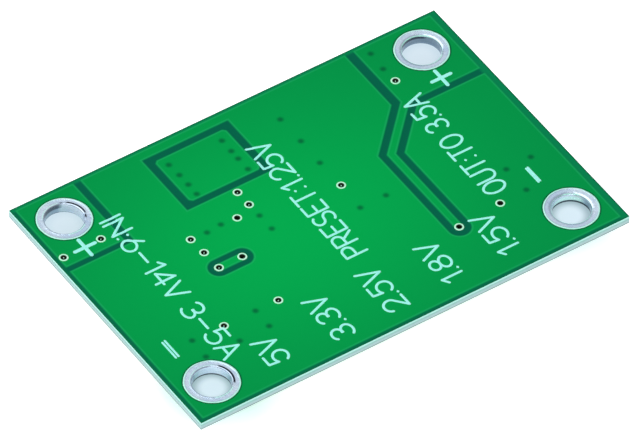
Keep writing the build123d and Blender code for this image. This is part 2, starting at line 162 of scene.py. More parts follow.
# distance from the nearest of some spots of the artwork, or 99 where there are none
def nearest(px, py, spots):
    x = px - board["artShift"]
    best = np.full(np.shape(x), 99.0)
    for spotX, spotY in spots:
        best = np.minimum(best, np.hypot(x - spotX, py - spotY))
    return best


# distance in from the board's edge
def rimDistance(px, py):
    return np.minimum(board["halfLength"] - np.abs(px), board["halfWidth"] - np.abs(py))


# upper copper in the artwork's own millimetres: boxes are x0, x1, y0, y1, and cuts are the bare strips
copper = {
    "ground": (-21.98, 21.98, -14.67, 14.67),
    "cuts": [(-24, -15.2, 6.01, 17), (12.83, 24, 6.18, 17), (-9.33, -0.29, 6.54, 13.66)],
    "pours": [(-21.98, -15.9, 6.56, 14.67), (13.69, 21.98, 6.85, 14.67)],
    "island": {"middle": (-4.81, 10.1), "half": (3.74, 2.88), "corner": 6.34},
    "link": (-10.85, -0.65, -8.42, -0.65),
    "linkHalf": 0.43,
    "linkCut": 1.01,
    "sense": {"left": 9.025, "right": 9.815, "leanLeft": 6.4315, "leanRight": 7.5485, "end": (9.42, -7.98),
              "endRadius": 0.395, "within": (8, 15, -9, 8)},
    "senseCut": 0.69,
}


# signed distances, below zero inside: the greatest of the distances past the four sides
def boxDistance(x, y, x0, x1, y0, y1):
    return np.maximum(np.maximum(x0 - x, x - x1), np.maximum(y0 - y, y - y1))


# distance from a line between two spots, less the radius
def barDistance(x, y, ax, ay, bx, by, radius):
    along = np.clip(((x - ax) * (bx - ax) + (y - ay) * (by - ay)) / ((bx - ax) ** 2 + (by - ay) ** 2), 0, 1)
    return np.hypot(x - ax - along * (bx - ax), y - ay - along * (by - ay)) - radius


# the sense trace runs up, then off at 45 degrees into the output pour, with a round end
def senseDistance(x, y, grow):
    trace = copper["sense"]
    endX, endY = trace["end"]
    lean = y - x
    root = math.sqrt(2)
    left = np.maximum(trace["left"] - grow - x, (lean + trace["leanLeft"] - grow * root) / root)
    right = np.minimum(x - trace["right"] - grow, (-trace["leanRight"] - grow * root - lean) / root)
    tail = np.hypot(x - endX, y - endY) - trace["endRadius"] - grow
    return np.where(y < endY, tail, np.maximum(left, right))


# the switch island is a box whose corners are cut at 45 degrees
def islandDistance(x, y):
    island = copper["island"]
    u = np.abs(x - island["middle"][0])
    v = np.abs(y - island["middle"][1])
    box = np.maximum(u - island["half"][0], v - island["half"][1])
    return np.maximum(box, (u + v - island["corner"]) / math.sqrt(2))


# depth into the copper: above zero over copper, below zero over bare laminate
def copperDepth(px, py):
    x = px - board["artShift"]
    cuts = [boxDistance(x, py, *box) for box in copper["cuts"]]
    cuts += [senseDistance(x, py, copper["senseCut"]), barDistance(x, py, *copper["link"], copper["linkCut"])]
    trace = np.maximum(senseDistance(x, py, 0), boxDistance(x, py, *copper["sense"]["within"]))
    pours = [boxDistance(x, py, *box) for box in copper["pours"]]
    pours += [trace, islandDistance(x, py), barDistance(x, py, *copper["link"], copper["linkHalf"])]
    ground = np.maximum(boxDistance(x, py, *copper["ground"]), -np.minimum.reduce(cuts))
    return -np.minimum(ground, np.minimum.reduce(pours))


# shader parts: an input is given a plain value or a socket to follow
def feed(tree, node, inputs):
    for key, value in inputs.items():
        if isinstance(value, bpy.types.NodeSocket):
            tree.links.new(value, node.inputs[key])
        else:
            node.inputs[key].default_value = (*value, 1) if node.inputs[key].type == "RGBA" else value


# a node with its settings made and its inputs fed
def addNode(tree, kind, inputs=None, **settings):
    node = tree.nodes.new(kind)
    for key, value in settings.items():
        setattr(node, key, value)
    feed(tree, node, inputs or {})
    return node


# one operation on plain values
def mathOf(tree, operation, *values):
    return addNode(tree, "ShaderNodeMath", dict(enumerate(values)), operation=operation).outputs[0]


# one operation on vectors; a length comes out as a value
def vectorOf(tree, operation, *values):
    node = addNode(tree, "ShaderNodeVectorMath", dict(enumerate(values)), operation=operation)
    return node.outputs["Value" if operation == "LENGTH" else "Vector"]


# a value carried smoothly from first at the low end to last at the high end
def softRange(tree, value, low, high, first=1, last=0):
    ends = {"Value": value, "From Min": low, "From Max": high, "To Min": first, "To Max": last}
    return addNode(tree, "ShaderNodeMapRange", ends, interpolation_type="SMOOTHSTEP").outputs[0]


# a value stored with the piece's points
def attributeOf(tree, name):
    return addNode(tree, "ShaderNodeAttribute", attribute_name=name).outputs["Fac"]


# where the shaded point lies on the part, in metres
def objectPlace(tree):
    return addNode(tree, "ShaderNodeTexCoord").outputs["Object"]


# the first value times what is left of the factor, plus the second times the factor
def scalarMix(tree, factor, first, second):
    inputs = {0: factor, 2: first, 3: second}
    return addNode(tree, "ShaderNodeMix", inputs, data_type="FLOAT", clamp_factor=True).outputs[0]


# the same for two colours
def colourMix(tree, factor, first, second):
    inputs = {0: factor, 6: first, 7: second}
    return addNode(tree, "ShaderNodeMix", inputs, data_type="RGBA", clamp_factor=True).outputs[2]


# an empty group with its named values going in and its named results coming out
def addGroup(name, inputs, outputs):
    group = bpy.data.node_groups.new(name, "ShaderNodeTree")
    for label, value in inputs.items():
        socket = group.interface.new_socket(label, in_out="INPUT", socket_type="NodeSocketFloat")
        socket.default_value = value
    for label, kind in outputs.items():
        group.interface.new_socket(label, in_out="OUTPUT", socket_type=kind)
    return group, group.nodes.new("NodeGroupInput").outputs, group.nodes.new("NodeGroupOutput")


# grain: two sizes of noise in object space, as a mask and as a bumped normal
def grainGroup():
    group, given, end = addGroup("grain", {"Coarse": 400, "Fine": 4000, "Blend": 0.5, "Height": 0.00001},
                                 {"Mask": "NodeSocketFloat", "Normal": "NodeSocketVector"})
    where = objectPlace(group)
    noises = [addNode(group, "ShaderNodeTexNoise", {"Detail": detail, "Vector": where, "Scale": given[size]})
              for size, detail in (("Coarse", 3), ("Fine", 2))]
    mixed = scalarMix(group, given["Blend"], *(noise.outputs[0] for noise in noises))
    spread = addNode(group, "ShaderNodeMapRange", {"From Min": 0.3, "From Max": 0.7, "Value": mixed})
    bump = addNode(group, "ShaderNodeBump", {"Strength": 1, "Height": mixed, "Distance": given["Height"]})
    feed(group, end, {"Mask": spread.outputs[0], "Normal": bump.outputs[0]})
    return group


# colours, then where in millimetres each mark lies and fades, each mark's colour and strength, the finish
inkLook = {
    # middle and outer: the ink's tone toward the board's middle and toward its edges, paler in the middle as
    # a painted pool of light
    "middle": (0.0006, 0.425, 0.08),
    "outer": (0.001, 0.29, 0.064),
    "mottle": (0.0008, 0.33, 0.07),
    "gap": (0.0014, 0.128, 0.068),
    "edgeGap": (0.003, 0.155, 0.066),
    "farGap": (0.0022, 0.225, 0.08),
    # dot: darker ink over each covered via, partly the ink over the filled hole and partly painted shade in
    # its dimple; also the painted shade outside the terminals
    "dot": (0.001, 0.08, 0.035),
    # line: a painted highlight just inside the copper's edges, where the film's slope would catch the light
    "line": (0.02, 0.46, 0.17),
    "softness": 0.1,
    "dotFade": (0.08, 0.46),
    "rimFade": (0, 0.5),
    # painted shade: a dark line in the ink just outside each terminal's rim, and how it fades
    "ringShadeFade": (0.05, 0.2),
    # how far into the copper the painted highlight lies, and how fast it fades
    "edgeHighlightDepth": 0.1,
    "edgeHighlightFade": (0, 0.14),
    # where the painted pool of light lies, its shape, and the distances over which it fades
    "litMiddleAt": (-3.5, 0, 0),
    "litMiddleShape": (1, 1.35, 0),
    "litMiddleFade": (0, 30),
    "mottleShare": 0.12,
    "marks": [("Line", "line", 0.35), ("Dot", "dot", 0.7), ("Ring", "dot", 0.8)],
    "grain": (90, 2600, 0.35, 0.000004),
    "rough": 0.28,
    "level": 0.012,
}


# ink: how far the copper under the film lightens it, and where covered vias and edges darken it; also a
# painted pool of light round the board's middle, a painted highlight along the copper's edges and painted
# shade outside the terminals' rims
def inkGroup():
    labels = ("Copper", "Dot", "Rim", "Line", "Middle", "Ring")
    group, given, end = addGroup("ink", {"Softness": 0.05}, {label: "NodeSocketFloat" for label in labels})
    soft = given["Softness"]
    depth = attributeOf(group, "copperDepth")
    fromEdgeHighlight = mathOf(group, "ABSOLUTE", mathOf(group, "SUBTRACT", depth, inkLook["edgeHighlightDepth"]))
    fromLitMiddle = vectorOf(group, "SUBTRACT", objectPlace(group), metres(inkLook["litMiddleAt"]))
    fromLitMiddle = vectorOf(group, "LENGTH", vectorOf(group, "MULTIPLY", fromLitMiddle, inkLook["litMiddleShape"]))
    feed(group, end, {
        "Copper": softRange(group, depth, mathOf(group, "MULTIPLY", -1, soft), soft, 0, 1),
        "Dot": softRange(group, attributeOf(group, "dotDistance"), *inkLook["dotFade"]),
        "Rim": softRange(group, attributeOf(group, "rimDistance"), *inkLook["rimFade"]),
        "Line": softRange(group, fromEdgeHighlight, *inkLook["edgeHighlightFade"]),
        "Middle": softRange(group, fromLitMiddle, *metres(inkLook["litMiddleFade"])),
        "Ring": softRange(group, attributeOf(group, "ringDistance"), *inkLook["ringShadeFade"]),
    })
    return group


grain = grainGroup()
ink = inkGroup()


# a material with its tree and its Principled shader
def newMaterial(name):
    made = bpy.data.materials.new(name)
    made.use_nodes = True
    tree = made.node_tree
    return made, tree, tree.nodes["Principled BSDF"]


# the grain group in a material: its mask and its normal
def addGrain(tree, coarse, fine, blend, height):
    inputs = {"Coarse": coarse, "Fine": fine, "Blend": blend, "Height": height}
    look = addNode(tree, "ShaderNodeGroup", inputs, node_tree=grain)
    return look.outputs["Mask"], look.outputs["Normal"]


# a finish whose colour and roughness wander between two values with the grain
def grainMaterial(name, low, high, rough, metal, level, *grainSizes):
    made, tree, shader = newMaterial(name)
    mask, normal = addGrain(tree, *grainSizes)
    feed(tree, shader, {"Base Color": colourMix(tree, mask, low, high), "Normal": normal, "Metallic": metal,
                        "Roughness": scalarMix(tree, mask, *rough), "Specular IOR Level": level})
    return made


# green over copper, darker over bare laminate, paler round the board's middle as a painted pool of light,
# then the marks over it: a painted highlight along the copper's edges, the covered vias darker as ink over
# the filled hole and partly as painted shade in their dimples, and painted shade outside the terminals
def inkMaterial():
    made, tree, shader = newMaterial("greenInk")
    marks = addNode(tree, "ShaderNodeGroup", {"Softness": inkLook["softness"]}, node_tree=ink).outputs
    mask, normal = addGrain(tree, *inkLook["grain"])
    # painted light: the ink paler round the board's middle
    colour = colourMix(tree, marks["Middle"], inkLook["outer"], inkLook["middle"])
    mottle = mathOf(tree, "MULTIPLY", mask, inkLook["mottleShare"])
    colour = colourMix(tree, mottle, colour, inkLook["mottle"])
    gap = colourMix(tree, marks["Rim"], inkLook["gap"], inkLook["edgeGap"])
    gap = colourMix(tree, attributeOf(tree, "farStrip"), gap, inkLook["farGap"])
    colour = colourMix(tree, marks["Copper"], gap, colour)
    for mark, tone, share in inkLook["marks"]:
        colour = colourMix(tree, mathOf(tree, "MULTIPLY", marks[mark], share), colour, inkLook[tone])
    feed(tree, shader, {"Base Color": colour, "Normal": normal, "Roughness": inkLook["rough"],
                        "Specular IOR Level": inkLook["level"]})
    return made


tinLook = {
    "low": (0.52, 0.69, 0.92),
    "high": (0.76, 0.89, 1),
    # painted shade: the colour the tin darkens toward down the bores and in its dark marks
    "paintedShade": (0.016, 0.022, 0.04),
    # painted highlight: the pale non-metal colour of the outer rim and the glints
    "rim": (0.52, 1, 0.86),
    "rough": (0.16, 0.32),
    "grain": (500, 3600, 0.35, 0.00005),
}


# bright tin that darkens with its shade attribute, which is painted shade, and whitens with a painted
# highlight on its outer rim and at its glints
def tinMaterial():
    made, tree, shader = newMaterial("brightTin")
    mask, normal = addGrain(tree, *tinLook["grain"])
    rim = attributeOf(tree, "paintedHighlight")
    colour = colourMix(tree, mask, tinLook["low"], tinLook["high"])
    colour = colourMix(tree, attributeOf(tree, "shade"), tinLook["paintedShade"], colour)
    feed(tree, shader, {"Base Color": colourMix(tree, rim, colour, tinLook["rim"]), "Normal": normal,
                        "Roughness": scalarMix(tree, mask, *tinLook["rough"]),
                        "Metallic": mathOf(tree, "SUBTRACT", 1, rim)})
    return made


# the laminate's cut edge: pale and darker bands down its thickness, darker toward the bottom
laminateLook = {
    "bands": [
        (4.05, (0.2, 0.27, 0.27)), (4.14, (0.24, 0.34, 0.34)), (4.24, (0.33, 0.47, 0.48)),
        (4.4, (0.34, 0.52, 0.52)), (4.52, (0.24, 0.44, 0.42)), (4.62, (0.25, 0.48, 0.44)),
        (4.72, (0.36, 0.68, 0.62)), (4.84, (0.4, 0.78, 0.7)), (4.92, (0.36, 0.74, 0.64)),
    ],
    "wobble": 0.09,
    "z0": 4,
    "z1": 5,
    "grain": (600, 9000, 0.4, 0.00002),
    "rough": 0.55,
    "level": 0.3,
}


# height in the board plus a little of the grain picks the colour from the bands
def laminateMaterial():
    made, tree, shader = newMaterial("glassLaminate")
    mask, normal = addGrain(tree, *laminateLook["grain"])
    z0, z1, half = laminateLook["z0"], laminateLook["z1"], laminateLook["wobble"] / 2
    height = addNode(tree, "ShaderNodeSeparateXYZ", {0: objectPlace(tree)}).outputs[2]
    level = addNode(tree, "ShaderNodeMapRange", {"From Min": z0 * mm, "From Max": z1 * mm, "Value": height})
    wander = addNode(tree, "ShaderNodeMapRange", {"To Min": -half, "To Max": half, "Value": mask})
    ramp = addNode(tree, "ShaderNodeValToRGB", {0: mathOf(tree, "ADD", level.outputs[0], wander.outputs[0])})
    stops = ramp.color_ramp.elements
    for k, (layer, tone) in enumerate(laminateLook["bands"]):
        at = (layer - z0) / (z1 - z0)
        stop = stops[k] if k < 2 else stops.new(at)
        stop.position = at
        stop.color = (*tone, 1)
    feed(tree, shader, {"Base Color": ramp.outputs[0], "Normal": normal, "Roughness": laminateLook["rough"],
                        "Specular IOR Level": laminateLook["level"]})
    return made


# low and high colour, low and high roughness, metal, reflection level, coarse and fine grain, blend, bump
finishTones = {
    "dullTin": ((0.5, 0.52, 0.55), (0.72, 0.74, 0.77), (0.3, 0.5), 1, 0.5, 900, 6000, 0.4, 0.00001),
    "whitePrint": ((0.3, 0.93, 0.82), (0.42, 1, 0.93), (0.45, 0.6), 0, 0.2, 1500, 7000, 0.5, 0.000006),
    "bareCopper": ((0.72, 0.32, 0.16), (0.86, 0.46, 0.27), (0.25, 0.45), 1, 0.5, 400, 4000, 0.5, 0.00001),
    "dippedCopper": ((0.5, 0.51, 0.52), (0.74, 0.74, 0.73), (0.28, 0.48), 1, 0.5, 700, 5000, 0.4, 0.00001),
    "viaTin": ((0.36, 1, 0.62), (0.72, 1, 0.86), (0.25, 0.4), 0, 0.5, 2500, 6000, 0.4, 0.00001),
    # painted shade: the dark lining of the via holes
    "viaHoleShade": ((0.004, 0.006, 0.003), (0.02, 0.03, 0.012), (0.2, 0.4), 0, 0.3, 3000, 9000, 0.5, 0.00002),
    "lowerInk": ((0.0016, 0.24, 0.05), (0.002, 0.33, 0.07), (0.25, 0.35), 0, 0.1, 300, 3000, 0.3, 0.000004),
    "blackMoulding": ((0.01, 0.01, 0.011), (0.03, 0.03, 0.032), (0.45, 0.65), 0, 0.5, 1500, 9000, 0.7,
                      0.00002),
    "ferrite": ((0.02, 0.02, 0.022), (0.055, 0.054, 0.056), (0.35, 0.6), 0, 0.5, 700, 7000, 0.6, 0.00002),
    "enamelWire": ((0.45, 0.14, 0.05), (0.66, 0.24, 0.09), (0.2, 0.32), 0.8, 0.5, 900, 5000, 0.4, 0.00001),
    "ceramicTan": ((0.33, 0.21, 0.12), (0.46, 0.31, 0.19), (0.35, 0.5), 0, 0.5, 1200, 8000, 0.6, 0.000012),
    "alumina": ((0.62, 0.62, 0.6), (0.8, 0.8, 0.78), (0.5, 0.65), 0, 0.5, 1500, 9000, 0.6, 0.00001),
    "resistorGlaze": ((0.006, 0.006, 0.008), (0.02, 0.02, 0.024), (0.18, 0.3), 0, 0.5, 1500, 9000, 0.5,
                      0.00001),
    "solderLook": ((0.55, 0.57, 0.6), (0.82, 0.84, 0.86), (0.22, 0.42), 1, 0.5, 1200, 5000, 0.4, 0.00002),
}
finish = {name: grainMaterial(name, *tones) for name, tones in finishTones.items()}
greenInk = inkMaterial()
tin = tinMaterial()
print("stage: shared materials made")

# what the CAD nodes of each slot are dressed in
slotFinish = {
    "laminate": laminateMaterial(),
    "copper": finish["bareCopper"],
    "solder_mask": finish["lowerInk"],
    "tin": finish["dullTin"],
    "solder": finish["solderLook"],
    "chip_moulding": finish["blackMoulding"],
    "ferrite": finish["ferrite"],
    "winding": finish["enamelWire"],
    "capacitor_ceramic": finish["ceramicTan"],
    "resistor_plate": finish["alumina"],
    "resistor_film": finish["resistorGlaze"],
}


# every CAD node in the finish of its slot
def dressNodes():
    for entry in frame["record"]["subparts"]:
        piece = frame["nodes"][entry["node"]]
        piece.data.materials.clear()
        # copper in the windows of the lower ink came out of the tin bath with the pads
        dipped = entry["node"].startswith("lower") and entry["material_slot"] == "copper"
        piece.data.materials.append(finish["dippedCopper"] if dipped else slotFinish[entry["material_slot"]])


dressNodes()
print("stage: CAD nodes dressed")

# the ink film: a height grid on each side of the board, darkened where the laminate shows through
film = {
    "pitch": 0.1,
    "hole": 0.37,  # no film nearer than this to an open via, or than ringHole to a terminal's middle
    "ringHole": 2.25,
    "climb": (-0.11, 0.03),  # depths into the copper between which the ink climbs onto it
    "dimple": (0.012, 0.08, 0.34),  # depth, and the distances between which it fades, here and below
    "roundOff": (0.012, 0, 0.14),
    "ringTuck": (0.05, 2.4, 2.5),
    "padTuck": (0.02, 0.34, 0.43),
    # the strips along the two far edges catch more light, but for a line at the very edge
    "farX": (21.5, 21.9),
    "farY": (14.4, 14.7),
    "farRim": (0.05, 0.18),
}


# floor, plus the copper's rise where copper lies below, less a dimple at each covered via and at the rim
def filmHeight(px, py):
    height = board["filmFloor"] + board["copperRise"] * smoothStep(copperDepth(px, py), *film["climb"])
    height = height - dip(nearest(px, py, tentedVias), *film["dimple"])
    return height - dip(rimDistance(px, py), *film["roundOff"])


upperSide = {"height": filmHeight, "depth": copperDepth, "dots": tentedVias, "holes": openVias, "windows": [],
             "foot": board["laminateTop"], "up": 1, "node": "upper_solder_mask"}


# a grid of x by y at the side's height, with faces left out in holes and windows and a skirt to the laminate
def filmPiece(name, side, x, y):
    nx, ny = len(x), len(y)
    gx, gy = np.meshgrid(x, y, indexing="ij")
    tuck = dip(nearest(gx, gy, terminals.values()), *film["ringTuck"])
    tuck = tuck + dip(nearest(gx, gy, side["holes"]), *film["padTuck"])
    flat = np.stack([gx, gy, side["height"](gx, gy) - side["up"] * tuck], -1).reshape(-1, 3)
    quads = gridQuads(nx, ny)
    cx, cy = flat[quads].mean(1)[:, :2].T
    keep = nearest(cx, cy, terminals.values()) > film["ringHole"]
    keep &= nearest(cx, cy, side["holes"]) > film["hole"]
    for wx, wy, sx, sy in side["windows"]:
        window = (wx - sx / 2, wx + sx / 2, wy - sy / 2, wy + sy / 2)
        keep &= boxDistance(cx - board["artShift"], cy, *window) > 0
    faces = [quads[keep][:, ::-1]]
    # the board's outer edges: the two long ones, then a short one where the grid reaches it
    runs = [(np.arange(nx) * ny, True), (np.arange(nx) * ny + ny - 1, False)]
    if x[0] < 0:
        runs.append((np.arange(ny), False))
    if x[-1] > 0:
        runs.append(((nx - 1) * ny + np.arange(ny), True))
    for run, flip in runs:
        foot = flat[run].copy()
        foot[:, 2] = side["foot"]
        down = len(flat) + np.arange(len(run))
        strip = np.stack([run[:-1], run[1:], down[1:], down[:-1]], -1)
        faces.append(strip[:, ::-1] if flip else strip)
        flat = np.concatenate([flat, foot])
    faces = np.concatenate(faces)
    piece = addMesh(name, flat, faces if side["up"] > 0 else faces[:, ::-1])
    px, py = flat[:, 0], flat[:, 1]
    rim = rimDistance(px, py)
    far = np.maximum(smoothStep(px, *film["farX"]), smoothStep(py, *film["farY"])) * (side["up"] > 0)
    addAttribute(piece, "copperDepth", side["depth"](px, py))
    addAttribute(piece, "dotDistance", nearest(px, py, side["dots"]))
    addAttribute(piece, "rimDistance", rim)
    addAttribute(piece, "ringDistance", nearest(px, py, terminals.values()) - board["ring"])
    addAttribute(piece, "farStrip", far * smoothStep(rim, *film["farRim"]))
    return place(piece, greenInk, "solder_mask", side["node"])


# places from start to end, as near to the pitch apart as comes out even
def evenLines(start, end, pitch):
    return np.linspace(start, end, int(round((end - start) / pitch)) + 1)


acrossBoard = evenLines(-board["halfWidth"], board["halfWidth"], film["pitch"])
filmPiece("inkFilmInput", upperSide, evenLines(-board["halfLength"], 0, film["pitch"]), acrossBoard)
filmPiece("inkFilmOutput", upperSide, evenLines(0, board["halfLength"], film["pitch"]), acrossBoard)
print("stage: ink film made")

# the component side: heights, centres, then sizes, in the artwork's own millimetres
under = {
    "copperFace": 4.04,
    "laminate": 4.075,
    "seat": 4,
    "inkOver": 4.015,
    "inkBetween": 4.05,
    "pitch": 0.16,
    "gap": 0.3,
    "trace": 0.175,
    "chip": (-7.8, 3.45),
    "leadPitch": 1.27,
    "chipPad": (3.1, 2.3),
    "coil": (3.6, 3.7),
    "powerCaps": {"input": [-17.65, -14.3, -11.1], "inputY": -4.2,
                  "output": [13.5, 16.6, 19.7], "outputY": -1.5},
    "smallCaps": [(-12.1, 4.95, 90), (-9, -2.45, 90)],
    "choiceX": [-12.8, -6.75, -0.7, 5.35, 11.4],
    "resistorY": -8.9,
    "feedback": (7.6, -7.98, 0),
    "choicePads": {"y": (-12.1, -13.25), "window": (1.3, 2.05)},
    # step from the part's middle to its pad, pad size x and y, reach to the part's end, rise up it
    "pads": {"lead": (2.75, 0.57, 1.2, 0.25, 0.16), "coil": (4.35, 2.3, 3.65, 0.8, 0.91),
             "power": (1.45, 2.5, 1.1, 0.15, 1), "small": (0.75, 0.8, 0.8, 0.05, 0.4),
             "resistor": (0.75, 0.8, 0.8, 0.05, 0.225)},
    "pours": [(-21.98, -8.1, 5.45, 14.67), (-21.98, -13, -3.5, 6.15), (-14.3, -9.8, -3.5, -1.7),
              (-7.5, -5.4, 5.45, 12.7), (-3, 0.6, 0.3, 12.6), (6.6, 21.98, -0.8, 14.67)],
    "traces": [(-10.85, -0.65, -10.85, -2.95), (-12.8, -7.45, 6.85, -7.45), (-7.165, 1.45, -7.165, -7.45),
               (6.85, -7.98, 6.85, -6.5), (6.85, -6.5, 11.4, -6.5), (11.4, -6.5, 11.4, -8.15),
               (8.35, -7.98, 9.42, -7.98), (-9.705, 1.45, -9.705, -1.2), (-9.705, -1.2, -9, -1.2),
               (-9, -1.2, -9, -1.7), (-8.435, 1.45, -8.435, -0.65)],
    "choiceRun": (-7.45, -8.15),  # from the bus down to a voltage resistor, then on to its selector pad
    "choiceDrop": (-9.65, -12.1),
    "dropHalf": 0.4,
    "ownLine": 0.05,
}
resistorPlaces = [(x, under["resistorY"], 90) for x in under["choiceX"]] + [under["feedback"]]
powerPlaces = {key: [(x, under["powerCaps"][key + "Y"], 90) for x in under["powerCaps"][key]]
               for key in ("input", "output")}


# soldered pads: centre x and y, size x and y, way out of the part in degrees, reach to its end, rise up it
def solderPads():
    chipX, chipY = under["chip"]
    leads = [(chipX + (k - 1.5) * under["leadPitch"], chipY, 90) for k in range(4)]
    parts = {
        "lead": leads,
        "coil": [(*under["coil"], 0)],
        "power": powerPlaces["input"] + powerPlaces["output"],
        "small": under["smallCaps"],
        "resistor": resistorPlaces,
    }
    pads = []
    for side in (-1, 1):
        for kind, places in parts.items():
            step, *rest = under["pads"][kind]
            sizes, slope = rest[:2], rest[2:]
            pads += [(x, y + side * step, *sizes, 90 * side, *slope) if turn else
                     (x + side * step, y, *sizes, 90 - 90 * side, *slope) for x, y, turn in places]
    return pads


# windows in the lower ink: one for each row of leads and pair of selector pads, and one for each other pad
def lowerWindows():
    chipX, chipY = under["chip"]
    step, width, length = under["pads"]["lead"][:3]
    row = 3 * under["leadPitch"] + width
    windows = [(chipX, chipY + side * step, row, length) for side in (-1, 1)]
    windows.append((chipX, chipY, *under["chipPad"]))
    choice = under["choicePads"]
    windows += [(x, sum(choice["y"]) / 2, *choice["window"]) for x in under["choiceX"]]
    return windows + [pad[:4] for pad in solderPads() if pad[2] > width]


# depth into the copper of the lower side: pours and traces, and a field of ground a gap away from them
def lowerDepth(px, py):
    x = px - board["artShift"]
    runY, endY = under["choiceRun"]
    dropY, padY = under["choiceDrop"]
    signal = [boxDistance(x, py, *box) for box in under["pours"]]
    signal += [barDistance(x, py, *bar, under["trace"]) for bar in under["traces"]]
    signal += [barDistance(x, py, cx, runY, cx, endY, under["trace"]) for cx in under["choiceX"][:4]]
    signal += [barDistance(x, py, cx, dropY, cx, padY, under["dropHalf"]) for cx in under["choiceX"]]
    signal = np.minimum.reduce(signal)
    ground = np.maximum(boxDistance(x, py, *copper["ground"]), under["gap"] - signal)
    return -np.minimum(signal, ground)


# the same as the upper film's height, turned over
def lowerHeight(px, py):
    drop = under["inkBetween"] - under["inkOver"]
    height = under["inkBetween"] - drop * smoothStep(lowerDepth(px, py), *film["climb"])
    height = height + dip(nearest(px, py, tentedVias + openVias), *film["dimple"])
    return height + dip(rimDistance(px, py), *film["roundOff"])


# even lines, given up where a window's edge runs close by and has a line of its own
def windowLines(half, edges):
    even = evenLines(-half, half, under["pitch"])
    edges = np.unique(np.round(edges, 4))
    clear = np.abs(even[:, None] - edges).min(1) > under["ownLine"]
    return np.sort(np.concatenate([even[clear], edges]))


lowerSide = {"height": lowerHeight, "depth": lowerDepth, "dots": tentedVias + openVias, "holes": [],
             "windows": lowerWindows(), "foot": under["laminate"], "up": -1, "node": "lower_solder_mask"}
windows = lowerSide["windows"]
edgesX = [wx + board["artShift"] + side * sx / 2 for wx, wy, sx, sy in windows for side in (-1, 1)]
edgesY = [wy + side * sy / 2 for wx, wy, sx, sy in windows for side in (-1, 1)]
filmPiece("inkFilmUnder", lowerSide, windowLines(board["halfLength"], edgesX),
          windowLines(board["halfWidth"], edgesY))
print("stage: lower ink film made")


# a profile of radius, height and share of the wander carried round an upright axis;
# the height wanders with the turn as a sum of three sines
def lathe(profile, segments, centre, wander, seed, closed=False):
    turn = np.arange(segments) * 2 * np.pi / segments
    lift = sum(np.sin(k * turn + seed * 1.7 + k) / k for k in (2, 3, 5))
    radius = profile[:, :1] + 0 * turn[None]
    height = profile[:, 1:2] + wander * lift[None] * profile[:, 2:3]
    points = np.stack([centre[0] + radius * np.cos(turn), centre[1] + radius * np.sin(turn), height], -1)
    return points, gridQuads(len(profile), segments, closed, True)


